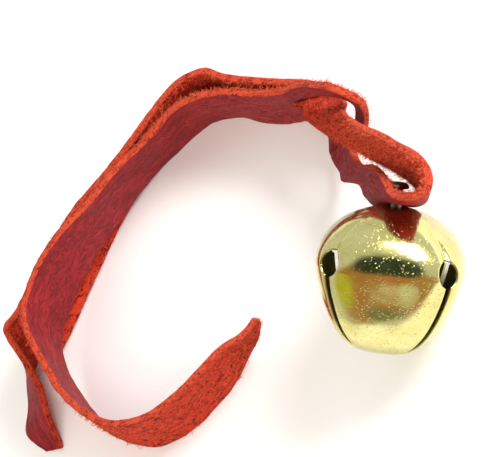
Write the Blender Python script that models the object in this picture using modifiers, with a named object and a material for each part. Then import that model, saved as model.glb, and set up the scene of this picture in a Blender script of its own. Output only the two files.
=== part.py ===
"""Single petal bell on a soft leather strap.

The strap is one length of leather. One strand carries a lengthwise slit, the other end is pulled
through that slit, and the small turn that is left takes the rivet of the bell. The strap stands on its
long edge, curled into an open loop, and the bell lies on its side with the riveted end raised.
Units are metres in the scene; the station lists below are in millimetres.
"""

import math

import bmesh
import bpy
import numpy as np
from mathutils import Matrix, Vector

MM = 0.001

# ---- leather ---------------------------------------------------------------------------------------
STRAP_WIDTH = 22.0
LEATHER = 2.4  # thickness
BELOW_BASE = 0.6  # how far a resting edge is modelled past the base plane before it is trimmed flat
STEPS_PER_STATION = 3  # ribbon rows between two stations
SECTION = (0.0, 0.30, 0.60, 0.66, 0.83, 1.0)  # places of the ribbon's rows across its width
SLIT_ROW = 2  # the slit is the gap between row 2 and row 3
SPLIT_GAP = 0.05  # between two strap solids that follow each other, in stations
TAIL_GAP = 0.12  # the same at the flexing free end

# Standing stretches: bottom edge x, y, z, lean in degrees (+ is out of the loop), width, outward bulge.
INNER_WALL = (
    (3, -20, 9.5, 10, 1.5, 0),
    (0, -24, 5.5, 12, 8, 0),
    (-5, -28, 2, 12, 16, 0),
    (-10, -35, 0, 10, 21, 0),
    (-16, -42, 0, 8, 22, 0),
    (-24, -48.5, 0, 4, 22, 0),
    (-34, -52, 0, -2, 22, 0),
    (-45, -50.5, 0, -7, 22, 0),
    (-56, -45.5, 0, -11, 22, 0),
    (-64, -38, 2, -14, 22, 0),
    (-69.5, -28, 6, -14, 22, 0),
    (-70.5, -18, 8, -9, 22, 0),
    (-66.5, -5, 8, -6, 22, 0),
    (-62, 6, 7, -9, 22, 0),
    (-57, 17, 4.5, -15, 22, 0),
    (-48.5, 31.5, 2, -18, 22, 0),
    (-38, 42.5, 0, -18, 22, 0),
    (-28, 49, 0, -14, 22, 0),
    (-17, 49.5, 0, -8, 22, 0),
    (-8.5, 46.5, 0, 0, 22, 0),
    (1, 44.5, 0, 0, 22, 0),
)
OUTER_WALL = (
    (-7, 56.5, 0, -8, 22, 0),
    (-17, 58, 0, -2, 22, 0),
    (-27, 56, 0, -3, 22, 0),
    (-37, 51, 0, -10, 22, 0),
    (-45.2, 43.2, 0, -13, 22, 1),
    (-54.3, 32, 0, -13, 22, 2),
    (-61.3, 18.8, 0, -2, 22, 2.5),
    (-66.3, 6, 0, 6, 22, 3),
    (-70.8, -5, 0, 10, 22, 3),
    (-75.3, -16, 0, 12, 22, 2.5),
    (-80, -23.5, 0, 12, 22, 1),
)
# Knot: near edge, slit upper lip, slit lower lip, far edge; two points where the slit is closed.
KNOT = (
    ((13, 42.5, 23.5), (8.5, 44.5, 0)),
    ((20.5, 42, 27), (17, 42, 19.5), (16, 41.5, 10), (12, 42.5, 0)),
    ((28.5, 39.5, 30.5), (25, 39.8, 24), (22, 38.5, 11), (15.5, 39.5, 0)),
    ((36, 36.5, 32), (32.5, 38, 26), (27, 34.5, 11), (17, 36.5, 1)),
    ((42, 34, 27), (38, 36, 21.5), (31, 31.5, 10), (18, 33, 2)),
    ((40.5, 32, 19.5), (19.5, 30.5, 3)),
    ((33.5, 29.5, 14), (21.5, 27.5, 4)),
    ((35, 24, 17), (25, 23.5, 6)),
    ((41.5, 17, 23), (29, 18.5, 10.5)),
    ((50.5, 12, 29.5), (36.5, 15.5, 13.5)),
    ((58, 5.5, 36), (42, 9.5, 18.5)),
    ((63.5, -0.5, 40), (48, 5.3, 22)),
    ((69.5, -3.5, 42), (55, 4.2, 23.5)),
    ((74.5, -2.8, 41.5), (60.3, 3.5, 22)),
    ((76, 1, 41), (62.8, 6, 20.8)),
    ((74.5, 6, 40.5), (60.2, 11.2, 22.5)),
    ((70.5, 10.5, 40), (56, 14.5, 23)),
    ((63, 15.5, 38), (50, 18.5, 21.5)),
    ((55.5, 20.5, 35.5), (43.5, 22.5, 21)),
    ((48, 25, 32), (36.5, 27, 19.5)),
    ((41, 30, 27.5), (28.5, 31.5, 18)),
    ((35.5, 34, 22), (18.5, 39, 16)),
    ((34.5, 38.5, 20), (17.5, 44.5, 12.5)),
    ((29, 44, 18.5), (15, 48.5, 6)),
    ((20.5, 48, 19.5), (11, 51.5, 1.5)),
    ((10.5, 49.5, 21), (3, 54, 0)),
)
# Free end of the outer strand, which is folded over and lies back: near edge, far edge.
OUTER_TAIL = (
    ((-82.5, -25.5, 17), (-88.5, -25, 1.6)),
    ((-79.5, -30, 14), (-90, -31, 0.8)),
    ((-76.5, -38, 9.5), (-88, -40, 0.4)),
    ((-75, -46, 5.5), (-87, -49, 0.4)),
    ((-71.5, -54, 1.2), (-78, -54.5, 0.4)),
)
FIRST_SLIT_STATION, LAST_SLIT_STATION = 0, 5  # stations of KNOT where the slit ends
INNER_TAIL_STATIONS = 8.5  # the inner free end, from its tip, in stations
STRANDS_MEET = 17.5  # station of KNOT, past the turn, where the two strand solids meet

# ---- bell ------------------------------------------------------------------------------------------
BELL_FLAT_RADIUS = 19.8  # from the axis to the middle of a petal, at the widest height
BELL_TOP, BELL_WIDEST, BELL_BOTTOM = 20.1, 5.0, -19.3
BELL_WALL = 0.9
BELL_CENTRE = (52.8, -16.25, 20.1)
BELL_AXIS = (0.271, 0.867, 0.415)  # towards the rivet
PETAL_FACING = (0.427, -0.495, 0.757)  # middle of the upper petal
HOLE_RADIUS, HOLE_HEIGHT = 3.6, 6.4
SLOT_WIDTH = 1.5
SQUARENESS = 3.4
RIVET_POST_RADIUS, RIVET_HEAD_RADIUS, RIVET_HEAD = 1.5, 3.2, 1.0
RIVET_HEAD_TOP = 18.3  # top of the rivet's head inside the crown, above the bell's centre
RIVET_CAP_RADIUS, RIVET_CAP, RIVET_CAP_BASE = 3.0, 1.5, 25.2
CLEARANCE = 0.35
PEA_RADIUS, PEA_HEIGHT, PEA_BEARING = 4.5, -2.5, 50.0
PEA_CLEARANCE = 0.2

ORIGIN = Vector((-7.0, 1.7, 0.0))  # middle of the base of the whole set, in the lists above


def clear_scene():
    for obj in list(bpy.data.objects):
        bpy.data.objects.remove(obj, do_unlink=True)


def collection(name):
    made = bpy.data.collections.new(name)
    bpy.context.scene.collection.children.link(made)
    return made


def material(name, colour, roughness, metallic=0.0):
    made = bpy.data.materials.new(name)
    made.use_nodes = True
    shader = made.node_tree.nodes["Principled BSDF"]
    shader.inputs["Base Color"].default_value = (*colour, 1)
    shader.inputs["Roughness"].default_value = roughness
    shader.inputs["Metallic"].default_value = metallic
    return made


def mesh_object(name, mesh, into, look):
    obj = bpy.data.objects.new(name, mesh)
    obj.data.materials.append(look)
    into.objects.link(obj)
    return obj


def cutter(obj, into):
    for old in list(obj.users_collection):
        old.objects.unlink(obj)
    into.objects.link(obj)
    obj.hide_render = True
    obj.display_type = "WIRE"
    return obj


def boolean(obj, other):
    cut = obj.modifiers.new(other.name, "BOOLEAN")
    cut.operation = "DIFFERENCE"
    cut.object = other
    return cut


# ---- strap -----------------------------------------------------------------------------------------


def section_rows(near, far, upper=None, lower=None, bulge=None):
    """Points across the ribbon, from its far edge to its near edge."""
    near, far = np.array(near, float), np.array(far, float)
    share = np.array(SECTION)[:, None]
    rows = far + (near - far) * share
    if upper is not None:
        rows[SLIT_ROW], rows[SLIT_ROW + 1] = lower, upper
        rows[SLIT_ROW - 1] = (far + rows[SLIT_ROW]) / 2
        rows[SLIT_ROW + 2] = (near + rows[SLIT_ROW + 1]) / 2
    if bulge is not None:
        rows = rows + 4 * share * (1 - share) * bulge
    return rows


def wall_sections(stations, outward):
    """Sections of a stretch that stands on its edge, from its bottom edge and its lean."""
    bottoms = np.array([s[:3] for s in stations], float)
    found = []
    for i, (_, _, z, lean, width, bulge) in enumerate(stations):
        along = bottoms[min(i + 1, len(bottoms) - 1)] - bottoms[max(i - 1, 0)]
        out = np.array([-along[1], along[0], 0]) * outward
        out /= np.linalg.norm(out)
        angle = math.radians(lean)
        bottom = bottoms[i] - (0, 0, BELOW_BASE if z == 0 else 0)
        top = bottoms[i] + width * (math.sin(angle) * out + math.cos(angle) * np.array([0, 0, 1]))
        found.append(section_rows(top, bottom, bulge=bulge * out))
    return found


def knot_sections():
    found = []
    for near, *lips, far in KNOT:
        if far[2] == 0:
            far = (far[0], far[1], -BELOW_BASE)
        found.append(section_rows(near, far, *lips))
    return found


def at_station(sections, place):
    """The section at a place between stations, on a smooth curve through all of them."""
    i = min(int(place), len(sections) - 2)
    t = place - i
    before, here = sections[max(i - 1, 0)], sections[i]
    there, after = sections[i + 1], sections[min(i + 2, len(sections) - 1)]
    return 0.5 * (
        2 * here
        + (there - before) * t
        + (2 * before - 5 * here + 4 * there - after) * t**2
        + (3 * here - before - 3 * there + after) * t**3
    )


def ribbon(name, sections, start, end, into, look, slit=None):
    """A strip of leather between two places of the strap; its grain side is the modelled surface."""
    count = max(2, round((end - start) * STEPS_PER_STATION))
    places = np.linspace(start, end, count + 1)
    grid = (np.array([at_station(sections, p) for p in places]) - np.array(ORIGIN)) * MM
    shape = bmesh.new()
    verts = [[shape.verts.new(p) for p in row] for row in grid]
    for i in range(count):
        middle = (places[i] + places[i + 1]) / 2
        for j in range(len(SECTION) - 1):
            if slit and j == SLIT_ROW and slit[0] < middle < slit[1]:
                continue
            shape.faces.new((verts[i][j], verts[i + 1][j], verts[i + 1][j + 1], verts[i][j + 1]))
    mesh = bpy.data.meshes.new(name)
    shape.to_mesh(mesh)
    shape.free()
    mesh.shade_smooth()
    obj = mesh_object(name, mesh, into, look)
    thick = obj.modifiers.new("leather thickness", "SOLIDIFY")
    thick.thickness = LEATHER * MM
    thick.offset = -1
    thick.use_even_offset = False
    return obj


def strap(place, into, cutters, look):
    walls_in = wall_sections(INNER_WALL, 1)
    walls_out = wall_sections(OUTER_WALL, -1)
    sections = walls_in + knot_sections() + walls_out
    knot_start = len(INNER_WALL)
    meet = knot_start + STRANDS_MEET
    slit = (knot_start + FIRST_SLIT_STATION, knot_start + LAST_SLIT_STATION)
    pieces = [
        ribbon("strap_inner_tail", sections, 0, INNER_TAIL_STATIONS - TAIL_GAP, into, look),
        ribbon("strap_inner_strand", sections, INNER_TAIL_STATIONS, meet - SPLIT_GAP, into, look, slit),
        ribbon("strap_outer_strand", sections, meet, len(sections) - 1, into, look),
    ]
    tail = [section_rows(near, far) for near, far in OUTER_TAIL]
    pieces.append(ribbon("strap_outer_tail", tail, 0, len(tail) - 1, into, look))
    bpy.ops.mesh.primitive_cube_add(size=1, location=(0, 0, -0.01))
    below = bpy.context.object
    below.name = "below_base"
    below.data.transform(Matrix.Diagonal((0.4, 0.4, 0.02, 1)))
    cutter(below, cutters)
    for piece in pieces:
        boolean(piece, below)
    seat = (RIVET_CAP_BASE - CLEARANCE, RIVET_CAP_BASE + RIVET_CAP + CLEARANCE)
    for name, radius, low, high in (
        ("rivet_hole_cutter", RIVET_POST_RADIUS + CLEARANCE, BELL_TOP, RIVET_CAP_BASE),
        ("rivet_cap_seat_cutter", RIVET_CAP_RADIUS + CLEARANCE, *seat),
    ):
        boolean(pieces[1], axis_cylinder(name, radius, low, high, place, cutters))
    return pieces


# ---- bell ------------------------------------------------------------------------------------------


def bell_frame():
    """Matrix of the bell: local +Z along its axis to the rivet, local -Y through the upper petal."""
    up = Vector(BELL_AXIS).normalized()
    front = Vector(PETAL_FACING)
    front = (front - up * front.dot(up)).normalized()
    side = (-front).cross(up)
    centre = (Vector(BELL_CENTRE) - ORIGIN) * MM
    return Matrix.Translation(centre) @ Matrix((side, -front, up)).transposed().to_4x4()


def bell_radius(height, azimuth):
    """Outer radius at a height, squarer towards the slots and round at the crown."""
    if height > BELL_WIDEST:
        rise = (height - BELL_WIDEST) / (BELL_TOP - BELL_WIDEST)
        profile = max(0.0, 1 - rise**1.9) ** 0.5
    else:
        drop = (BELL_WIDEST - height) / (BELL_WIDEST - BELL_BOTTOM)
        profile = max(0.0, 1 - drop**1.25) ** 0.36
    square = SQUARENESS - (SQUARENESS - 2) * max(0.0, height / BELL_TOP) ** 1.5
    c, s = abs(math.cos(azimuth)), abs(math.sin(azimuth))
    return BELL_FLAT_RADIUS * profile * (c**square + s**square) ** (-1 / square)


def shell(place, into, cutters, look):
    shape = bmesh.new()
    bmesh.ops.create_uvsphere(shape, u_segments=40, v_segments=22, radius=1)
    for vert in shape.verts:
        polar = math.acos(max(-1, min(1, vert.co.z)))
        azimuth = math.atan2(vert.co.y, vert.co.x)
        height = BELL_TOP * math.cos(polar) if vert.co.z > 0 else -BELL_BOTTOM * math.cos(polar)
        radius = bell_radius(height, azimuth)
        vert.co = Vector((radius * math.cos(azimuth), radius * math.sin(azimuth), height)) * MM
    mesh = bpy.data.meshes.new("bell_shell")
    shape.to_mesh(mesh)
    shape.free()
    mesh.shade_smooth()
    obj = mesh_object("bell_shell", mesh, into, look)
    obj.matrix_world = place
    wall = obj.modifiers.new("wall", "SOLIDIFY")
    wall.thickness = BELL_WALL * MM
    wall.offset = -1
    for k in range(2):
        turn = math.radians(45 + 90 * k)
        bpy.ops.mesh.primitive_cylinder_add(vertices=20, radius=HOLE_RADIUS * MM, depth=0.07)
        hole = bpy.context.object
        hole.name = f"hole_cutter_{k + 1}"
        hole.matrix_world = (
            place @ Matrix.Translation((0, 0, HOLE_HEIGHT * MM)) @ Matrix.Rotation(turn, 4, "Z")
            @ Matrix.Rotation(math.pi / 2, 4, "Y")
        )
        boolean(obj, cutter(hole, cutters))
        bpy.ops.mesh.primitive_cube_add(size=1)
        slot = bpy.context.object
        slot.name = f"slot_cutter_{k + 1}"
        deep = HOLE_HEIGHT - BELL_BOTTOM + 4
        slot.data.transform(Matrix.Diagonal((0.07, SLOT_WIDTH * MM, deep * MM, 1)))
        slot.matrix_world = (
            place @ Matrix.Translation((0, 0, (HOLE_HEIGHT - deep / 2) * MM)) @ Matrix.Rotation(turn, 4, "Z")
        )
        boolean(obj, cutter(slot, cutters))
    boolean(obj, axis_cylinder("crown_hole_cutter", RIVET_POST_RADIUS + CLEARANCE, 10, 25, place, cutters))
    return obj


def axis_cylinder(name, radius, low, high, place, into):
    """Cylinder on the bell's axis between two heights above the bell's centre."""
    bpy.ops.mesh.primitive_cylinder_add(vertices=24, radius=radius * MM, depth=(high - low) * MM)
    made = bpy.context.object
    made.name = name
    made.matrix_world = place @ Matrix.Translation((0, 0, (low + high) / 2 * MM))
    return cutter(made, into)


def turned(name, profile, place, into, look):
    """Solid turned on the bell's axis from a profile of radius and height that runs down its outside."""
    shape = bmesh.new()
    verts = [shape.verts.new((r * MM, 0, z * MM)) for r, z in profile]
    for first, second in zip(verts, verts[1:]):
        shape.edges.new((first, second))
    mesh = bpy.data.meshes.new(name)
    shape.to_mesh(mesh)
    shape.free()
    obj = mesh_object(name, mesh, into, look)
    obj.matrix_world = place
    spin = obj.modifiers.new("turning", "SCREW")
    spin.steps = spin.render_steps = 24
    spin.use_merge_vertices = True
    spin.merge_threshold = 0.00001
    spin.use_smooth_shade = True
    return obj


def rivet(place, into, look):
    """Two-part rivet: a post with a head inside the crown, and a cap over its end on the leather."""
    post_top = RIVET_CAP_BASE + RIVET_CAP / 3
    foot = RIVET_HEAD_TOP - RIVET_HEAD
    post = ((0, post_top), (RIVET_POST_RADIUS, post_top), (RIVET_POST_RADIUS, RIVET_HEAD_TOP))
    post += ((RIVET_HEAD_RADIUS, RIVET_HEAD_TOP), (RIVET_HEAD_RADIUS, foot + 0.3))
    post += ((RIVET_HEAD_RADIUS - 0.4, foot), (0, foot))
    turned("rivet_post", post, place, into, look)
    top, base = RIVET_CAP_BASE + RIVET_CAP, RIVET_CAP_BASE
    socket, ceiling = RIVET_POST_RADIUS + CLEARANCE, post_top + CLEARANCE
    cap = ((0, top), (RIVET_CAP_RADIUS * 0.6, top - 0.1), (RIVET_CAP_RADIUS * 0.9, top - 0.4))
    cap += ((RIVET_CAP_RADIUS, top - 0.9), (RIVET_CAP_RADIUS, base), (socket, base))
    cap += ((socket, ceiling), (0, ceiling))
    turned("rivet_cap", cap, place, into, look)


def pea(place, into, look):
    """Loose ball, at rest in the lowest part of the shell."""
    bpy.ops.mesh.primitive_uv_sphere_add(segments=20, ring_count=12, radius=PEA_RADIUS * MM)
    obj = bpy.context.object
    obj.name = "bell_pea"
    obj.data.materials.append(look)
    obj.data.shade_smooth()
    for old in list(obj.users_collection):
        old.objects.unlink(obj)
    into.objects.link(obj)
    reach = bell_radius(PEA_HEIGHT - 1.5, 0) - BELL_WALL - PEA_RADIUS - PEA_CLEARANCE
    bearing = math.radians(PEA_BEARING)
    rest = Vector((reach * math.cos(bearing), reach * math.sin(bearing), PEA_HEIGHT)) * MM
    obj.matrix_world = place @ Matrix.Translation(rest)
    return obj


def main():
    clear_scene()
    parts = collection("leather_strap_bell")
    cutters = collection("cutters")
    leather = material("red leather", (0.42, 0.06, 0.05), 0.65)
    brass = material("brass plate", (0.78, 0.72, 0.36), 0.18, 1)
    steel = material("steel", (0.5, 0.5, 0.5), 0.35, 1)
    place = bell_frame()
    strap(place, parts, cutters, leather)
    shell(place, parts, cutters, brass)
    rivet(place, parts, steel)
    pea(place, parts, steel)


main()
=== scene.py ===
"""Looks of a petal bell on a slit leather strap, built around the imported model.

The strap is rebuilt as one sheet of leather with a smooth grain side, a fibrous flesh side and rough cut
edges. The bell is rebuilt as a stamped shell of four petals. Lists are in millimetres; the scene is in
metres.
"""

import math

import bpy
import numpy as np
from mathutils import Matrix, Vector, noise


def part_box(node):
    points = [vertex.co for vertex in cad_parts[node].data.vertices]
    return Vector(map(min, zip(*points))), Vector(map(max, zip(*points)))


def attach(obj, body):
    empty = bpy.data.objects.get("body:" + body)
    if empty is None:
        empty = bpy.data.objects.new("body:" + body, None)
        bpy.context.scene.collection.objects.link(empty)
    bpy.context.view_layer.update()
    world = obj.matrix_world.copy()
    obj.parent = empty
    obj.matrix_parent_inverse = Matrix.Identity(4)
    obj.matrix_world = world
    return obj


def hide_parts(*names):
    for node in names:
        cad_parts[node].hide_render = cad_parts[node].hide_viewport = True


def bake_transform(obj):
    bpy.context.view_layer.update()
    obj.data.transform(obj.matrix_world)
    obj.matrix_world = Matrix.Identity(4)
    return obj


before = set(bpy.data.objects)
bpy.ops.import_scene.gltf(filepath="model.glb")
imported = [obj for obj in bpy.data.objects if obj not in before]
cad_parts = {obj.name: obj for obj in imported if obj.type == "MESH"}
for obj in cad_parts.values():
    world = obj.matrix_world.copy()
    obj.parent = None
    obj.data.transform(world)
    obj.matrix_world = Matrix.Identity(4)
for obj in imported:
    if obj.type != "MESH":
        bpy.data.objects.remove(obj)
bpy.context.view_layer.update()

MM = 0.001
ORIGIN = np.array((-7.0, 1.7, 0.0))  # middle of the base of the whole set, in the lists below
random = np.random.default_rng(11)

# ---- strap layout, as in the model's own source -----------------------------------------------------
LEATHER = 2.4
SECTION = (0.0, 0.30, 0.622, 0.638, 0.83, 1.0)
INNER_WALL = (
    (3, -20, 9.5, 10, 1.5, 0),
    (0, -24, 5.5, 12, 8, 0),
    (-5, -28, 2, 12, 16, 0),
    (-10, -35, 0, 10, 21, 0),
    (-16, -42, 0, 8, 22, 0),
    (-24, -48.5, 0, 4, 22, 0),
    (-34, -52, 0, -2, 22, 0),
    (-45, -50.5, 0, -7, 22, 0),
    (-56, -45.5, 0, -11, 22, 0),
    (-64, -38, 2, -14, 22, 0),
    (-69.5, -28, 6, -14, 22, 0),
    (-70.5, -18, 8, -9, 22, 0),
    (-66.5, -5, 8, -6, 22, 0),
    (-62, 6, 7, -9, 22, 0),
    (-57, 17, 4.5, -15, 22, 0),
    (-48.5, 31.5, 2, -18, 22, 0),
    (-38, 42.5, 0, -18, 22, 0),
    (-28, 49, 0, -14, 22, 0),
    (-17, 49.5, 0, -8, 22, 0),
    (-8.5, 46.5, 0, 0, 22, 0),
    (1, 44.5, 0, 0, 22, 0),
)
KNOT = (
    ((13, 42.5, 23.5), (8.5, 44.5, 0)),
    ((20.5, 42, 27), (17, 42, 19.5), (16, 41.5, 10), (12, 42.5, 0)),
    ((28.5, 39.5, 30.5), (25, 39.8, 24), (22, 38.5, 11), (15.5, 39.5, 0)),
    ((36, 36.5, 32), (32.5, 38, 26), (27, 34.5, 11), (17, 36.5, 1)),
    ((42, 34, 27), (38, 36, 21.5), (31, 31.5, 10), (18, 33, 2)),
    ((40.5, 32, 19.5), (19.5, 30.5, 3)),
    ((33.5, 29.5, 14), (21.5, 27.5, 4)),
    ((35, 24, 17), (25, 23.5, 6)),
    ((41.5, 17, 23), (29, 18.5, 10.5)),
    ((50.5, 12, 29.5), (36.5, 15.5, 13.5)),
    ((58, 5.5, 36), (42, 9.5, 18.5)),
    ((63.5, -0.5, 40), (48, 5.3, 22)),
    ((69.5, -3.5, 42), (55, 4.2, 23.5)),
    ((74.5, -2.8, 41.5), (60.3, 3.5, 22)),
    ((76, 1, 41), (62.8, 6, 20.8)),
    ((74.5, 6, 40.5), (60.2, 11.2, 22.5)),
    ((70.5, 10.5, 40), (56, 14.5, 23)),
    ((63, 15.5, 38), (50, 18.5, 21.5)),
    ((55.5, 20.5, 35.5), (43.5, 22.5, 21)),
    ((48, 25, 32), (36.5, 27, 19.5)),
    ((41, 30, 27.5), (28.5, 31.5, 18)),
    ((35.5, 34, 22), (18.5, 39, 16)),
    ((34.5, 38.5, 20), (17.5, 44.5, 12.5)),
    ((29, 44, 18.5), (15, 48.5, 6)),
    ((20.5, 48, 19.5), (11, 51.5, 1.5)),
    ((10.5, 49.5, 21), (3, 54, 0)),
)
OUTER_WALL = (
    (-7, 56.5, 0, -8, 22, 0),
    (-17, 58, 0, -2, 22, 0),
    (-27, 56, 0, -3, 22, 0),
    (-37, 51, 0, -10, 22, 0),
    (-45.2, 43.2, 0, -13, 22, 1),
    (-54.3, 32, 0, -13, 22, 2),
    (-61.3, 18.8, 0, -2, 22, 2.5),
    (-66.3, 6, 0, 6, 22, 3),
    (-70.8, -5, 0, 10, 22, 3),
    (-75.3, -16, 0, 12, 22, 2.5),
    (-80, -22.5, 0, 12, 22, 1),
)
OUTER_TAIL = (
    ((-83.5, -23.5, 19), (-87, -22.5, 0.8)),
    ((-82, -26.5, 16.5), (-89.2, -26.5, 1)),
    ((-79.5, -31, 13.5), (-90, -31.5, 0.8)),
    ((-76.5, -38, 9.5), (-88, -40, 0.4)),
    ((-75, -46, 5.5), (-87, -49, 0.4)),
    ((-71.5, -54, 1.2), (-78, -54.5, 0.4)),
)
SLIT = (len(INNER_WALL), len(INNER_WALL) + 5)  # stations where the slit starts and ends
PIECES_MEET = len(INNER_WALL) + 6  # station where the two visible pieces of the strap meet
ROW_STEP = 0.7
LOWER_COLUMNS, UPPER_COLUMNS = 20, 12

# Stretches of the strap, from station to station.
POINTED_END = (2, 8)
RAGGED_STRETCHES = ((6, 12, 0.45), (17, 23, 0.35))  # each with how ragged its bottom edge is
LEFT_BEND = (9, 13)
SLIT_BEND = (21, 30)
BELL_TURN = (31, 40)
FACING_STRETCHES = ((16, 25), (43, 50))  # where two strands face each other, flesh to flesh

# Hairs: how many for each point of the surface, shortest and longest, and radius at the root.
EDGE_HAIRS, EDGE_HAIR_LENGTH = 0.7, (0.3, 1.0)
FLESH_HAIRS, FLESH_HAIR_LENGTH = 0.45, (0.5, 1.6)
HAIR_RADIUS = (0.05, 0.11)
RIM_STEPS = 5


def wall_section(stations, i, outward):
    """Section of a standing stretch: it leans out from its bottom edge and bulges between its edges."""
    bottoms = np.array([s[:3] for s in stations], float)
    _, _, _, lean, width, bulge = stations[i]
    along = bottoms[min(i + 1, len(bottoms) - 1)] - bottoms[max(i - 1, 0)]
    out = np.array((-along[1], along[0], 0)) * outward
    out /= np.linalg.norm(out)
    angle = math.radians(lean)
    top = bottoms[i] + width * (math.sin(angle) * out + math.cos(angle) * np.array((0, 0, 1)))
    return section_rows(top, bottoms[i], bulge=bulge * out)


def section_rows(near, far, upper=None, lower=None, bulge=0):
    """Six points across the strap from edge to edge; upper and lower are the slit's lips where it opens."""
    near, far = np.array(near, float), np.array(far, float)
    share = np.array(SECTION)[:, None]
    rows = far + (near - far) * share
    if upper is not None:
        rows[2], rows[3] = lower, upper
        rows[1] = (far + rows[2]) / 2
        rows[4] = (near + rows[3]) / 2
    return rows + 4 * share * (1 - share) * bulge


def all_sections():
    found = [wall_section(INNER_WALL, i, 1) for i in range(len(INNER_WALL))]
    found += [section_rows(near, far, *lips) for near, *lips, far in KNOT]
    found += [wall_section(OUTER_WALL, i, -1) for i in range(len(OUTER_WALL))]
    found += [section_rows(near, far) for near, far in OUTER_TAIL]
    return np.array(found) - ORIGIN


def between(sections, i, t):
    """Section at share t between stations i and i + 1, on a smooth curve through them all."""
    before, here = sections[max(i - 1, 0)], sections[i]
    there, after = sections[i + 1], sections[min(i + 2, len(sections) - 1)]
    return 0.5 * (
        2 * here
        + (there - before) * t
        + (2 * before - 5 * here + 4 * there - after) * t**2
        + (3 * here - before - 3 * there + after) * t**3
    )


def across(rows, shares, wanted):
    """Points on the parabola through three rows of a section."""
    a, b, c = shares
    t = np.asarray(wanted)[:, None]
    return (
        rows[0] * (t - b) * (t - c) / ((a - b) * (a - c))
        + rows[1] * (t - a) * (t - c) / ((b - a) * (b - c))
        + rows[2] * (t - a) * (t - b) / ((c - a) * (c - b))
    )


def wave(*place, seed=0.0):
    """Smooth noise from -1 to 1."""
    x, y = place
    return noise.noise(Vector((x + seed, y - seed, seed * 1.7)))


def rough(x, y, seed=0.0, octaves=3):
    """Noise with finer detail on top of coarse."""
    return noise.fractal(Vector((x + seed, y - seed, seed * 1.7)), 0.7, 2.0, octaves)


def near_stations(station, first, last, soft=1.0):
    """1 between two stations, fading to 0 outside them."""
    inside = min(station - first, last - station) / soft
    return max(0.0, min(1.0, inside + 1))


# ---- sheets with thickness ---------------------------------------------------------------------------


def vertex_normals(points, faces):
    normals = np.zeros_like(points)
    quads = np.array(faces)
    cross = np.cross(points[quads[:, 2]] - points[quads[:, 0]], points[quads[:, 3]] - points[quads[:, 1]])
    for k in range(4):
        np.add.at(normals, quads[:, k], cross)
    return normals / np.maximum(np.linalg.norm(normals, axis=1, keepdims=True), 1e-12)


def thick_sheet(points, faces, normals, under, rim_steps, rim_bulge):
    """Closed solid from a sheet and its underside. Gives points, faces, face kinds and source points.

    A face's kind is 0 on the sheet, 1 on its underside and 2 on the rim between them.
    """
    count = len(points)
    edges = {}
    for face in faces:
        for a, b in zip(face, face[1:] + face[:1]):
            if a != b:
                edges[(a, b)] = True
    border = [(a, b) for a, b in edges if (b, a) not in edges]
    out = {}
    for a, b in border:
        direction = np.cross(points[b] - points[a], normals[a] + normals[b])
        direction /= max(np.linalg.norm(direction), 1e-12)
        out[a] = out.get(a, 0) + direction
        out[b] = out.get(b, 0) + direction
    layers = {a: [a] for a in out}
    made, source = [points, under], list(range(count)) * 2
    extra = []
    for k in range(1, rim_steps):
        share = k / rim_steps
        swell = math.sin(math.pi * share) ** 0.6
        for a, direction in out.items():
            length = max(np.linalg.norm(direction), 1e-12)
            place = points[a] + (under[a] - points[a]) * share
            extra.append(place + direction / length * swell * rim_bulge(a, share))
            layers[a].append(2 * count + len(extra) - 1)
            source.append(a)
    for a in layers:
        layers[a].append(count + a)
    made.append(np.array(extra))
    all_faces = [tuple(f) for f in faces] + [tuple(count + a for a in reversed(f)) for f in faces]
    kinds = [0] * len(faces) + [1] * len(faces)
    for a, b in border:
        for k in range(rim_steps):
            all_faces.append((layers[b][k], layers[a][k], layers[a][k + 1], layers[b][k + 1]))
            kinds.append(2)
    return np.vstack(made), all_faces, kinds, source


def mesh_object(name, points, faces, kinds, looks, uv=None):
    mesh = bpy.data.meshes.new(name)
    clean = [tuple(dict.fromkeys(f)) for f in faces]
    mesh.from_pydata([tuple(p) for p in points], [], clean)
    mesh.polygons.foreach_set("material_index", kinds)
    mesh.shade_smooth()
    for look in looks:
        mesh.materials.append(look)
    if uv is not None:
        layer = mesh.uv_layers.new(name="leather")
        index = np.zeros(len(mesh.loops), int)
        mesh.loops.foreach_get("vertex_index", index)
        layer.data.foreach_set("uv", np.asarray(uv, np.float32)[index].ravel())
    mesh.validate()
    obj = bpy.data.objects.new(name, mesh)
    bpy.context.scene.collection.objects.link(obj)
    return obj


# ---- strap -------------------------------------------------------------------------------------------


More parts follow.
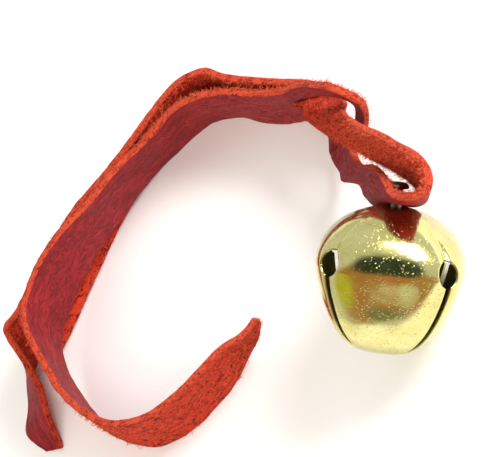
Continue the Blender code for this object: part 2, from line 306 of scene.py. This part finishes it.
def strap_sheet():
    """Grain side of the whole strap: points, faces, leather coordinates and the station of each row."""
    sections = all_sections()
    lower, upper = np.linspace(0, SECTION[2], LOWER_COLUMNS), np.linspace(SECTION[3], 1, UPPER_COLUMNS)
    columns = np.concatenate((lower, upper))
    rows, stations, lengths = [], [], []
    length = 0.0
    for i in range(len(sections) - 1):
        chord = np.linalg.norm(sections[i + 1] - sections[i], axis=1).mean()
        steps = max(4, round(chord / ROW_STEP))
        last = i == len(sections) - 2
        for k in range(steps + last):
            rows.append(between(sections, i, k / steps))
            stations.append(i + k / steps)
            lengths.append(length + chord * k / steps)
        length += chord
    points = []
    for row, station, u in zip(rows, stations, lengths):
        line = np.vstack((across(row[:3], SECTION[:3], lower), across(row[3:], SECTION[3:], upper)))
        width = line[-1] - line[0]
        ragged = sum(near_stations(station, a, b) * much for a, b, much in RAGGED_STRETCHES) + 0.12
        for column, share in enumerate(columns):
            edge = max(0.0, 1 - share * 6) * wave(u * 0.22, 0, seed=3) * ragged * 2
            edge += max(0.0, 1 - (1 - share) * 6) * wave(u * 0.35, 0, seed=9) * 0.3
            line[column] += width / 22 * edge
        points.append(line)
    points = np.array(points)
    count_rows, count_columns = points.shape[:2]
    faces = []
    for i in range(count_rows - 1):
        middle = (stations[i] + stations[i + 1]) / 2
        for j in range(count_columns - 1):
            if j == LOWER_COLUMNS - 1 and SLIT[0] < middle < SLIT[1]:
                continue
            corner = i * count_columns + j
            faces.append((corner, corner + count_columns, corner + count_columns + 1, corner + 1))
    flat = points.reshape(-1, 3)
    normals = vertex_normals(flat, faces)
    u = np.repeat(lengths, count_columns)
    v = np.tile(columns * 22, count_rows)
    station = np.repeat(stations, count_columns)
    return flat, faces, normals, u, v, station


def grain_height(u, v, station):
    """Soft creases of the leather, felt on both sides, in millimetres."""
    loose = near_stations(station, *LEFT_BEND, 2) + near_stations(station, *SLIT_BEND, 2)
    return 0.16 * rough(u * 0.09, v * 0.13, seed=5) + 0.10 * loose * wave(u * 0.5, v * 0.22, seed=21)


def flesh_height(u, v, station):
    """Extra roughness of the flesh side, in millimetres; it only ever thins the leather."""
    ridges = 1 - abs(wave(u * 0.16, v * 0.75 + wave(u * 0.1, 0, seed=2), seed=31)) * 2
    drawn = near_stations(station, *POINTED_END, 2)
    return -0.30 * drawn * max(0.0, ridges) - 0.16 * abs(rough(u * 0.9, v * 0.9, seed=40, octaves=4))


def fibres(roots, directions, lengths, sources):
    """Fine tapered hairs, each a closed solid of seven points."""
    points, faces, source = [], [], []
    for root, direction, length, origin in zip(roots, directions, lengths, sources):
        direction = direction / np.linalg.norm(direction)
        side = np.cross(direction, random.normal(size=3))
        side /= np.linalg.norm(side)
        other = np.cross(direction, side)
        bend = side * length * random.uniform(-0.4, 0.4) + other * length * random.uniform(-0.3, 0.3)
        radius = random.uniform(*HAIR_RADIUS)
        first = len(points)
        for along, thick, curve in ((-0.15, 1.0, 0.0), (0.55, 0.75, 0.35)):
            for k in range(3):
                angle = 2 * math.pi * k / 3
                ring = (side * math.cos(angle) + other * math.sin(angle)) * radius * thick
                points.append(root + direction * length * along + bend * curve + ring)
        points.append(root + direction * length + bend)
        faces.append((first + 2, first + 1, first))
        for k in range(3):
            n = (k + 1) % 3
            faces.append((first + k, first + n, first + 3 + n, first + 3 + k))
            faces.append((first + 3 + k, first + 3 + n, first + 6))
        source += [origin] * 7
    return points, faces, source


def edge_hairs(made, rim, source, top, under, normals, joint):
    """Roots, directions, lengths and source points of the hairs on cut edges, more of them by the flesh."""
    roots, directions, lengths, sources = [], [], [], []
    edge_points = np.flatnonzero(rim)
    for _ in range(round(len(edge_points) * EDGE_HAIRS)):
        a = int(random.choice(edge_points))
        s = source[a]
        if s in joint:
            continue
        share = np.linalg.norm(made[a] - top[s]) / LEATHER
        if random.uniform() > share * 0.9 + 0.1:
            continue
        out = made[a] - (top[s] + (under[s] - top[s]) * share)
        roots.append(made[a])
        directions.append(out * 2.5 + random.normal(size=3) * 0.35 - normals[s] * 0.25)
        lengths.append(random.uniform(*EDGE_HAIR_LENGTH) * (0.5 + 0.5 * share))
        sources.append(a)
    return roots, directions, lengths, sources


def flesh_hairs(under, normals, station, v):
    """Roots, directions, lengths and source points of the hairs on the flesh side."""
    roots, directions, lengths, sources = [], [], [], []
    count = len(under)
    weight = np.array([flesh_fuzz(*place) for place in zip(station, v)])
    weight /= weight.sum()
    for s in random.choice(count, size=round(count * FLESH_HAIRS), p=weight):
        roots.append(under[s] + random.normal(size=3) * 0.2)
        directions.append(-normals[s] + random.normal(size=3) * 0.8)
        lengths.append(random.uniform(*FLESH_HAIR_LENGTH))
        sources.append(count + int(s))
    return roots, directions, lengths, sources


def strap_piece(name, sheet, first_station, last_station, looks):
    """One visible piece of the strap: the sheet between two stations, made thick, with its hairs."""
    points, faces, normals, u, v, station = sheet
    kept = np.flatnonzero((station >= first_station - 1e-6) & (station <= last_station + 1e-6))
    index = -np.ones(len(points), int)
    index[kept] = np.arange(len(kept))
    own = [tuple(int(index[a]) for a in f) for f in faces if all(index[a] >= 0 for a in f)]
    height = np.array([grain_height(u[a], v[a], station[a]) for a in kept])
    flesh = np.array([flesh_height(u[a], v[a], station[a]) for a in kept])
    n = normals[kept]
    top = points[kept] + n * (height - 0.08 + crown_hug(points[kept]))[:, None]
    under = top - n * (LEATHER - 0.1 + flesh)[:, None]
    joint = {int(index[a]) for a in kept if abs(station[a] - PIECES_MEET) < 1e-6}

    def rim_bulge(a, share):
        if a in joint:
            return 0.0
        along = u[kept[a]]
        return 0.2 + 0.2 * wave(along * 1.1, share * 3, seed=14) + 0.16 * wave(along * 4, share * 5)

    made, all_faces, kinds, source = thick_sheet(top, own, n, under, RIM_STEPS, rim_bulge)
    uv = np.column_stack((u[kept][source], v[kept][source])) / 10
    depth = np.linalg.norm(made - top[source], axis=1) / 10
    rim = np.zeros(len(made), bool)
    rim[2 * len(top):] = True
    uv[rim, 1] += depth[rim]
    on_edge = edge_hairs(made, rim, source, top, under, n, joint)
    on_flesh = flesh_hairs(under, n, station[kept], v[kept])
    hair_points, hair_faces, hair_source = fibres(*(a + b for a, b in zip(on_edge, on_flesh)))
    offset = len(made)
    made = np.vstack((made, hair_points))
    all_faces += [tuple(a + offset for a in f) for f in hair_faces]
    kinds += [3] * len(hair_faces)
    uv = np.vstack((uv, uv[hair_source]))
    made[:, 2] = np.maximum(made[:, 2], 0.0)
    return mesh_object(name, made * MM, all_faces, kinds, looks, uv)


def crown_hug(points):
    """How far the leather over the rivet is drawn down round the crown of the bell, in millimetres."""
    up = np.array(Vector(BELL_AXIS).normalized())
    from_bell = points - (np.array(BELL_CENTRE) - ORIGIN)
    height = from_bell @ up
    away = np.linalg.norm(from_bell - height[:, None] * up, axis=1)
    near = np.clip((28 - height) / 4, 0, 1) * np.clip((height - 12) / 4, 0, 1)
    return (0.3 + 0.008 * away**2) * np.exp(-((away / 13) ** 4)) * near


def flesh_fuzz(station, v):
    """How many hairs the flesh side grows at a place."""
    turn = near_stations(station, *BELL_TURN) * 3
    upper = 2 if v > 14 else 0.3
    facing = sum(near_stations(station, *stretch) * upper for stretch in FACING_STRETCHES)
    return 0.25 + turn + facing


def strap():
    looks = [grain_leather(), flesh_leather(), cut_edge(), loose_fibre()]
    sheet = strap_sheet()
    last = len(all_sections()) - 1
    inner = strap_piece("strap_inner_strand_leather", sheet, 0, PIECES_MEET, looks)
    outer = strap_piece("strap_outer_strand_leather", sheet, PIECES_MEET, last, looks)
    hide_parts("strap_inner_tail", "strap_inner_strand")
    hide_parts("strap_outer_strand", "strap_outer_tail")
    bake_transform(inner)
    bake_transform(outer)


# ---- bell --------------------------------------------------------------------------------------------

BELL_CENTRE = (52.8, -16.25, 20.1)
BELL_AXIS = (0.271, 0.867, 0.415)
PETAL_FACING = (0.427, -0.495, 0.757)
BELL_FLAT_RADIUS = 19.8
BELL_TOP, BELL_WIDEST, BELL_BOTTOM = 20.1, 5.0, -19.3
BELL_WALL = 0.9
HOLE_RADIUS, HOLE_HEIGHT = 3.6, 6.4
SLOT_WIDTH = 2.0
CROWN_HOLE = 1.85
CROWN_CURVE, SKIRT_CURVE, SKIRT_ROUND = 1.9, 1.25, 0.36
SQUARENESS = 3.4
SLOT_AZIMUTH = math.radians(45)
CREASE_DEPTH, CREASE_WIDTH, CREASE_LENGTH, CREASE_RUN_IN = 1.0, 1.1, 8.5, 2.5
LIP_DEPTH, LIP_WIDTH = 0.35, 0.9
PETALS, PETAL_COLUMNS = 4, 44

# Rivet, as heights above the bell's centre and radii.
POST_RADIUS, POST_TOP = 1.5, 25.7
HEAD_RADIUS, HEAD_TOP, HEAD_BOTTOM = 3.2, 18.3, 17.3
CAP_RADIUS, CAP_SHOULDER, CAP_BASE, CAP_TOP = 3.0, 25.8, 25.2, 26.7
CAP_BORE, CAP_CEILING = 2.15, 26.05


def bell_place():
    """Where the bell's own frame lies: its axis up through the crown, a petal to the front."""
    up = Vector(BELL_AXIS).normalized()
    front = Vector(PETAL_FACING)
    front = (front - up * front.dot(up)).normalized()
    side = (-front).cross(up)
    turn = Matrix((side, -front, up)).transposed().to_4x4()
    return Matrix.Translation(Vector(np.array(BELL_CENTRE) - ORIGIN) * MM) @ turn


def bell_profile(height):
    """Radius through the middle of a petal: a domed crown over a fuller, flat-bottomed skirt."""
    if height > BELL_WIDEST:
        rise = (height - BELL_WIDEST) / (BELL_TOP - BELL_WIDEST)
        return BELL_FLAT_RADIUS * max(0.0, 1 - rise**CROWN_CURVE) ** 0.5
    drop = (BELL_WIDEST - height) / (BELL_WIDEST - BELL_BOTTOM)
    return BELL_FLAT_RADIUS * max(0.0, 1 - drop**SKIRT_CURVE) ** SKIRT_ROUND


def bell_radius(height, azimuth):
    """Radius of the shell at an azimuth that is 0 in the middle of a petal and 45 degrees at a slot."""
    square = SQUARENESS - (SQUARENESS - 2) * max(0.0, height / BELL_TOP) ** 1.5
    c, s = abs(math.cos(azimuth)), abs(math.sin(azimuth))
    radius = bell_profile(height) * (c**square + s**square) ** (-1 / square)
    away = (SLOT_AZIMUTH - abs(azimuth)) * radius  # along the shell, from the slot's plane
    above = height - HOLE_HEIGHT - HOLE_RADIUS
    crease = CREASE_DEPTH * math.exp(-((away / CREASE_WIDTH) ** 2))
    fade = 0.0
    if above > -CREASE_RUN_IN:
        fade = min(1.0, (above + CREASE_RUN_IN) / CREASE_RUN_IN) * max(0.0, 1 - above / CREASE_LENGTH)
    lip = LIP_DEPTH * math.exp(-(away / LIP_WIDTH))
    lip *= 1 if height < HOLE_HEIGHT else max(0.0, -above / HOLE_RADIUS)
    return radius - crease * fade - lip


def half_gap(height):
    """Half the width of the opening between two petals at a height."""
    from_hole = abs(height - HOLE_HEIGHT)
    if from_hole < HOLE_RADIUS:
        hole = math.sqrt(HOLE_RADIUS**2 - from_hole**2)
        return max(hole, SLOT_WIDTH / 2) if height < HOLE_HEIGHT else hole
    return SLOT_WIDTH / 2 if height < HOLE_HEIGHT else 0.0


def petal_heights():
    """Heights of a petal's rows: close together at the bottom, round the holes and at the crown."""
    low = [BELL_BOTTOM * math.sin(t) for t in np.linspace(math.radians(87.3), 0.0, 44)]
    low = [h for h in low if h < HOLE_HEIGHT - HOLE_RADIUS - 0.3]
    low += list(np.linspace(low[-1], HOLE_HEIGHT - HOLE_RADIUS, 5))[1:-1]
    hole = [HOLE_HEIGHT - HOLE_RADIUS * math.cos(t) for t in np.linspace(0, math.pi, 25)]
    rim = (1 - (CROWN_HOLE / BELL_FLAT_RADIUS) ** 2) ** (1 / CROWN_CURVE)
    crown = BELL_WIDEST + (BELL_TOP - BELL_WIDEST) * rim
    first, final = (math.acos(h / BELL_TOP) for h in (HOLE_HEIGHT + HOLE_RADIUS, crown))
    top = [BELL_TOP * math.cos(t) for t in np.linspace(first, final, 26)][1:]
    return low + hole + top


def shell():
    """Stamped shell: four petals with slots and holes between them, joined at the crown."""
    points, faces, known = [], [], {}

    def vertex(place):
        key = tuple(round(x, 4) for x in place)
        if key not in known:
            known[key] = len(points)
            points.append(place)
        return known[key]

    heights = petal_heights()
    for petal in range(PETALS):
        grid = []
        for height in heights:
            reach = bell_profile(height) * 1.15
            edge = SLOT_AZIMUTH - math.asin(min(0.70, half_gap(height) / max(reach, 1e-6)))
            edge = max(edge, 0.0)
            row = []
            for k in range(PETAL_COLUMNS + 1):
                share = 2 * k / PETAL_COLUMNS - 1
                share = math.sin(share * math.pi / 2) * 0.6 + share * 0.4
                azimuth = share * edge
                radius = bell_radius(height, azimuth)
                turn = azimuth + petal * math.pi / 2
                row.append(vertex((radius * math.cos(turn), radius * math.sin(turn), height)))
            grid.append(row)
        for low, high in zip(grid, grid[1:]):
            for k in range(PETAL_COLUMNS):
                corners = (low[k], low[k + 1], high[k + 1], high[k])
                if len(set(corners)) >= 3:
                    faces.append(corners)
    points = np.array(points)
    normals = vertex_normals(points, faces)
    under = points - normals * BELL_WALL
    made, all_faces, kinds, _ = thick_sheet(points, faces, normals, under, 4, lambda a, share: 0.12)
    # The inside of the shell gets painted shade; the rim is slightly darkened.
    looks = [brass("brass_outside", 0.0), brass("brass_inside_painted_shade", 0.85), brass("brass_rim", 0.15)]
    obj = mesh_object("bell_shell_brass", made * MM, all_faces, kinds, looks)
    obj.data.transform(bell_place())
    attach(obj, "bell")
    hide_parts("bell_shell")


def turned(name, profile, steps, look, body, node):
    """Solid turned on the bell's axis from a profile of radius and height, from axis to axis."""
    points, faces = [(0.0, 0.0, profile[0][1])], []
    for radius, height in profile[1:-1]:
        for k in range(steps):
            angle = 2 * math.pi * k / steps
            points.append((radius * math.cos(angle), radius * math.sin(angle), height))
    points.append((0.0, 0.0, profile[-1][1]))
    rings = len(profile) - 2
    for k in range(steps):
        n = (k + 1) % steps
        faces.append((0, 1 + k, 1 + n))
        for ring in range(rings - 1):
            a, b = 1 + ring * steps, 1 + (ring + 1) * steps
            faces.append((a + k, b + k, b + n, a + n))
        last = 1 + (rings - 1) * steps
        faces.append((last + n, last + k, len(points) - 1))
    obj = mesh_object(name, np.array(points) * MM, faces, [0] * len(faces), [look])
    obj.data.transform(bell_place())
    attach(obj, body)
    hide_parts(node)


def rounded(corners, radius=0.25, steps=4):
    """A profile with each inner corner rounded."""
    made = [corners[0]]
    for before, here, after in zip(corners, corners[1:], corners[2:]):
        before, here, after = (np.array(p, float) for p in (before, here, after))
        a, b = before - here, after - here
        reach = min(radius, np.linalg.norm(a) * 0.45, np.linalg.norm(b) * 0.45)
        start, end = here + a / np.linalg.norm(a) * reach, here + b / np.linalg.norm(b) * reach
        for t in np.linspace(0, 1, steps + 1):
            made.append(tuple(start * (1 - t) ** 2 + here * 2 * t * (1 - t) + end * t**2))
    return made + [corners[-1]]


def rivet():
    look = steel("rivet_steel")
    post = ((0, POST_TOP), (POST_RADIUS, POST_TOP), (POST_RADIUS, HEAD_TOP))
    head = ((HEAD_RADIUS, HEAD_TOP), (HEAD_RADIUS, HEAD_BOTTOM), (0, HEAD_BOTTOM))
    turned("rivet_post_steel", rounded(post + head), 40, look, "bell", "rivet_post")
    dome = ((0, CAP_TOP), (2.4, 26.5), (CAP_RADIUS, CAP_SHOULDER), (CAP_RADIUS, CAP_BASE))
    hollow = ((CAP_BORE, CAP_BASE), (CAP_BORE, CAP_CEILING), (0, CAP_CEILING))
    turned("rivet_cap_steel", rounded(dome + hollow), 40, look, "bell", "rivet_cap")


def pea():
    """Loose ball, slightly out of round and dented from use."""
    low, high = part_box("bell_pea")
    bpy.ops.mesh.primitive_ico_sphere_add(subdivisions=5, radius=(high - low).x / 2, location=(0, 0, 0))
    obj = bpy.context.object
    obj.name = "bell_pea_steel"
    for vertex in obj.data.vertices:
        dent = noise.noise(vertex.co / (2.2 * MM))
        vertex.co *= 1 - 0.02 * max(0.0, dent)
    obj.data.shade_smooth()
    obj.data.materials.append(steel("pea_steel"))
    obj.location = (low + high) / 2
    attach(obj, "pea")
    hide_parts("bell_pea")


# ---- materials ---------------------------------------------------------------------------------------


def add(tree, kind, values=None, **settings):
    made = tree.nodes.new("ShaderNode" + kind)
    for key, value in settings.items():
        setattr(made, key, value)
    for key, value in (values or {}).items():
        if isinstance(value, bpy.types.NodeSocket):
            tree.links.new(value, made.inputs[key])
        else:
            made.inputs[key].default_value = value
    return made


def ramp(tree, factor, *stops):
    made = add(tree, "ValToRGB", {"Fac": factor})
    elements = made.color_ramp.elements
    while len(elements) < len(stops):
        elements.new(0.5)
    for element, (position, colour) in zip(elements, stops):
        element.position = position
        element.color = (*colour, 1) if hasattr(colour, "__len__") else (colour, colour, colour, 1)
    return made.outputs["Color"]


def start(name):
    look = bpy.data.materials.new(name)
    look.use_nodes = True
    tree = look.node_tree
    return look, tree, tree.nodes["Principled BSDF"]


def leather_place(tree, along=1.0, across_=1.0):
    uv = add(tree, "UVMap", uv_map="leather")
    return add(tree, "Mapping", {"Vector": uv.outputs["UV"], "Scale": (along, across_, 1)}).outputs["Vector"]


def texture_noise(tree, place, scale, detail=4.0, roughness=0.55, distortion=0.0):
    values = {"Vector": place, "Scale": scale, "Detail": detail, "Roughness": roughness}
    values["Distortion"] = distortion
    return add(tree, "TexNoise", values).outputs["Fac"]


def bump(tree, height, distance, strength=1.0, under=None):
    values = {"Height": height, "Distance": distance, "Strength": strength}
    if under is not None:
        values["Normal"] = under
    return add(tree, "Bump", values).outputs["Normal"]


def mix(tree, factor, first, second, blend="MIX"):
    made = add(tree, "Mix", data_type="RGBA", blend_type=blend)
    for socket, value in ((made.inputs[0], factor), (made.inputs[6], first), (made.inputs[7], second)):
        if isinstance(value, bpy.types.NodeSocket):
            tree.links.new(value, socket)
        else:
            socket.default_value = value if not hasattr(value, "__len__") else (*value, 1)
    return made.outputs[2]


def grain_leather():
    """Smooth side: red with wandering creases darkened by painted shade, pores and a dull shine."""
    look, tree, shader = start("leather_grain")
    place = leather_place(tree)
    tone = texture_noise(tree, place, 1.3, 5)
    tone = ramp(tree, tone, (0.3, (0.27, 0.006, 0.010)), (0.7, (0.40, 0.012, 0.018)))
    slanted = add(tree, "Mapping", {"Vector": place, "Rotation": (0, 0, 0.7), "Scale": (0.8, 2.2, 1)})
    folds = texture_noise(tree, slanted.outputs["Vector"], 1.5, 4, 0.6, 1.4)
    crease = ramp(tree, folds, (0.45, 1.0), (0.5, 0.0), (0.55, 1.0))
    small = texture_noise(tree, place, 5.5, 4, 0.6, 1.0)
    fine_crease = ramp(tree, small, (0.46, 1.0), (0.5, 0.0), (0.54, 1.0))
    # Painted shade: the crease lines, the grooves of the crease bump, are darkened; the mix below halves it.
    painted_crease_shade = mix(tree, crease, (0.14, 0.004, 0.008), tone)
    colour = mix(tree, 0.50, tone, painted_crease_shade)
    pores = add(tree, "TexVoronoi", {"Vector": place, "Scale": 21.0}, feature="F1").outputs["Distance"]
    fine = texture_noise(tree, place, 30, 3)
    normal = bump(tree, texture_noise(tree, place, 3.4, 6, 0.6, 0.6), 0.0006, 0.8)
    normal = bump(tree, crease, 0.0004, 0.8, normal)
    normal = bump(tree, fine_crease, 0.00012, 0.7, normal)
    normal = bump(tree, pores, 0.00012, 0.7, normal)
    normal = bump(tree, fine, 0.00008, 0.6, normal)
    tree.links.new(colour, shader.inputs["Base Color"])
    tree.links.new(ramp(tree, fine, (0.3, 0.50), (0.7, 0.68)), shader.inputs["Roughness"])
    tree.links.new(normal, shader.inputs["Normal"])
    shader.inputs["Specular IOR Level"].default_value = 0.28
    shader.inputs["Sheen Weight"].default_value = 0.02
    shader.inputs["Sheen Roughness"].default_value = 0.45
    shader.inputs["Sheen Tint"].default_value = (0.75, 0.5, 0.7, 1)
    return look


def fibrous(name, hollow_shade_colour, light, coarse, sheen):
    """Cut or napped leather: matted fibres of uneven colour, with painted shade darkening the hollows
    between them.
    """
    look, tree, shader = start(name)
    place = leather_place(tree, 0.7)
    clumps = texture_noise(tree, place, coarse, 6, 0.7, 0.8)
    strands = texture_noise(tree, leather_place(tree, 0.5, 1.3), 26, 5, 0.75, 0.5)
    both = add(tree, "Math", {0: clumps, 1: strands}, operation="ADD").outputs["Value"]
    # Painted shade: the dark end of this ramp lies where the bumps below are lowest, so the hollows are
    # darkened; the rest is the fibres' own uneven colour.
    tree.links.new(ramp(tree, both, (0.88, hollow_shade_colour), (1.08, light)), shader.inputs["Base Color"])
    normal = bump(tree, clumps, 0.0009, 1.0)
    normal = bump(tree, strands, 0.0004, 1.0, normal)
    tree.links.new(normal, shader.inputs["Normal"])
    tree.links.new(ramp(tree, strands, (0.3, 0.8), (0.7, 0.95)), shader.inputs["Roughness"])
    shader.inputs["Specular IOR Level"].default_value = 0.25
    shader.inputs["Sheen Weight"].default_value = sheen
    shader.inputs["Sheen Roughness"].default_value = 0.5
    shader.inputs["Sheen Tint"].default_value = (1.0, 0.45, 0.25, 1)
    return look


def flesh_leather():
    return fibrous("leather_flesh", (0.10, 0.002, 0.002), (0.70, 0.050, 0.018), 6.0, 0.05)


def cut_edge():
    return fibrous("leather_cut_edge", (0.26, 0.010, 0.006), (0.74, 0.085, 0.036), 8.0, 0.08)


def loose_fibre():
    return fibrous("leather_fibre", (0.55, 0.035, 0.014), (0.88, 0.15, 0.070), 9.0, 0.10)


def brass(name, tarnish_and_shade):
    """Pale brass plate, polished, with fine pits and faint waviness; the second argument darkens and dulls
    it: painted shade inside the shell, a slight darkening on its cut rim.
    """
    look, tree, shader = start(name)
    place = add(tree, "TexCoord").outputs["Object"]
    cloud = texture_noise(tree, place, 140, 4, 0.6)
    pits = add(tree, "TexVoronoi", {"Vector": place, "Scale": 1500.0}, feature="F1").outputs["Distance"]
    sparse = texture_noise(tree, place, 420, 3)
    pit = ramp(tree, pits, (0.05, 0.0), (0.30, 1.0))
    smooth = ramp(tree, sparse, (0.44, 1.0), (0.62, 0.0))
    pitted = add(tree, "Math", {0: pit, 1: smooth}, operation="MAXIMUM").outputs["Value"]
    clean = ramp(tree, cloud, (0.35, (0.62, 0.575, 0.21)), (0.65, (0.72, 0.68, 0.32)))
    colour = mix(tree, pitted, (0.38, 0.30, 0.11), clean)
    # Painted shade: this darkens the inside of the shell towards dark brown, and the rim slightly.
    colour = mix(tree, tarnish_and_shade, colour, (0.20, 0.15, 0.05))
    smudge = texture_noise(tree, place, 260, 5, 0.7)
    tree.links.new(colour, shader.inputs["Base Color"])
    low, high = 0.10 + tarnish_and_shade * 0.4, 0.24 + tarnish_and_shade * 0.4
    tree.links.new(ramp(tree, smudge, (0.35, low), (0.75, high)), shader.inputs["Roughness"])
    normal = bump(tree, texture_noise(tree, place, 110, 2), 0.0004, 0.35)
    normal = bump(tree, pitted, 0.00008, 1.0, normal)
    tree.links.new(normal, shader.inputs["Normal"])
    shader.inputs["Metallic"].default_value = 1.0
    return look


def steel(name):
    """Dull steel, darkened unevenly by age."""
    look, tree, shader = start(name)
    place = add(tree, "TexCoord").outputs["Object"]
    tone = texture_noise(tree, place, 600, 5, 0.7)
    colour = ramp(tree, tone, (0.35, (0.09, 0.07, 0.055)), (0.7, (0.24, 0.21, 0.18)))
    tree.links.new(colour, shader.inputs["Base Color"])
    tree.links.new(ramp(tree, tone, (0.3, 0.28), (0.7, 0.5)), shader.inputs["Roughness"])
    tree.links.new(bump(tree, tone, 0.00005, 0.8), shader.inputs["Normal"])
    shader.inputs["Metallic"].default_value = 1.0
    return look


# ---- studio ------------------------------------------------------------------------------------------

LOOK_AT = (-9, 12, 0)
CAMERA_DISTANCE, CAMERA_AZIMUTH, CAMERA_ELEVATION, CAMERA_ROLL = 500, 60, 50, 60
LENS = 119.3
ROOM_STRENGTH = 0.85
# Softboxes: name, place, size, power, colour, and whether the brass mirrors them.
SOFTBOXES = (
    ("key_softbox", (0.62, 0.50, 0.55), (0.42, 0.30), 9.0, (1.0, 0.99, 0.98), True),
    ("fill_softbox", (-0.10, -0.75, 0.55), (0.6, 0.4), 2.5, (1.0, 1.0, 1.0), False),
    ("front_softbox", (0.45, -0.45, 0.65), (0.5, 0.5), 3.0, (1.0, 1.0, 1.0), False),
)
AIMED_AT = (0.02, 0.0, 0.02)
# Patches of the room that the brass mirrors: azimuth from +X, elevation, solid and fading radius, colour.
ROOM = (
    (-80, 36, 34, 54, (0.62, 0.29, 0.13)),
    (-40, 12, 16, 30, (0.66, 0.36, 0.17)),
    (-118, 28, 12, 22, (0.75, 0.74, 0.10)),
    (-76, 14, 5, 10, (0.95, 0.95, 0.72)),
    (-89, 3, 3, 9, (0.20, 0.26, 0.16)),
    (-20, 60, 17, 32, (0.04, 0.07, 0.06)),
)


def camera():
    azimuth, elevation = math.radians(CAMERA_AZIMUTH), math.radians(CAMERA_ELEVATION)
    level = math.cos(elevation)
    back = Vector((math.sin(azimuth) * level, -math.cos(azimuth) * level, math.sin(elevation)))
    upright = (Vector((0, 0, 1)) - back * back.z).normalized()
    up = Matrix.Rotation(math.radians(-CAMERA_ROLL), 3, back) @ upright
    turn = Matrix((up.cross(back), up, back)).transposed().to_4x4()
    place = Vector(np.array(LOOK_AT) - ORIGIN) + back * CAMERA_DISTANCE
    made = bpy.data.cameras.new("camera")
    made.lens = LENS
    made.sensor_width = 36
    made.clip_start = 0.01
    obj = bpy.data.objects.new("camera", made)
    obj.matrix_world = Matrix.Translation(place * MM) @ turn
    bpy.context.scene.collection.objects.link(obj)
    bpy.context.scene.camera = obj


def softbox(name, place, size, watts, colour, mirrored):
    made = bpy.data.lights.new(name, "AREA")
    made.shape = "RECTANGLE"
    made.size, made.size_y = size
    made.energy = watts
    made.color = colour
    obj = bpy.data.objects.new(name, made)
    obj.location = place
    obj.rotation_euler = (Vector(AIMED_AT) - Vector(place)).to_track_quat("-Z", "Y").to_euler()
    obj.visible_glossy = mirrored
    bpy.context.scene.collection.objects.link(obj)


def lobe(tree, direction, azimuth, elevation, inner, outer):
    """1 within an angle of a direction of the room, fading to 0 at a wider angle, all in degrees."""
    turn, rise = math.radians(azimuth), math.radians(elevation)
    middle = (math.cos(turn) * math.cos(rise), math.sin(turn) * math.cos(rise), math.sin(rise))
    near = add(tree, "VectorMath", {0: direction, 1: middle}, operation="DOT_PRODUCT").outputs["Value"]
    faded, solid = math.cos(math.radians(outer)), math.cos(math.radians(inner))
    limits = {"Value": near, "From Min": faded, "From Max": solid}
    return add(tree, "MapRange", limits, interpolation_type="SMOOTHSTEP").outputs["Result"]


def studio():
    """White paper floor, three softboxes and a pale room with the patches that the brass mirrors."""
    bpy.ops.mesh.primitive_plane_add(size=6, location=(0, 0, -0.0002))
    floor = bpy.context.object
    floor.name = "floor"
    look, tree, shader = start("floor_paper")
    place = add(tree, "TexCoord").outputs["Object"]
    tone = texture_noise(tree, place, 8, 3)
    tree.links.new(ramp(tree, tone, (0.3, 0.955), (0.7, 0.97)), shader.inputs["Base Color"])
    shader.inputs["Roughness"].default_value = 0.9
    floor.data.materials.append(look)
    for box in SOFTBOXES:
        softbox(*box)
    world = bpy.data.worlds.new("room")
    bpy.context.scene.world = world
    world.use_nodes = True
    tree = world.node_tree
    direction = add(tree, "TexCoord").outputs["Generated"]
    room = add(tree, "RGB").outputs["Color"]
    room.default_value = (0.92, 0.93, 0.90, 1)
    for azimuth, elevation, inner, outer, colour in ROOM:
        room = mix(tree, lobe(tree, direction, azimuth, elevation, inner, outer), room, colour)
    background = tree.nodes["Background"]
    tree.links.new(room, background.inputs["Color"])
    background.inputs["Strength"].default_value = ROOM_STRENGTH
    bpy.context.scene.view_settings.view_transform = "Standard"


camera()
studio()
strap()
shell()
rivet()
pea()
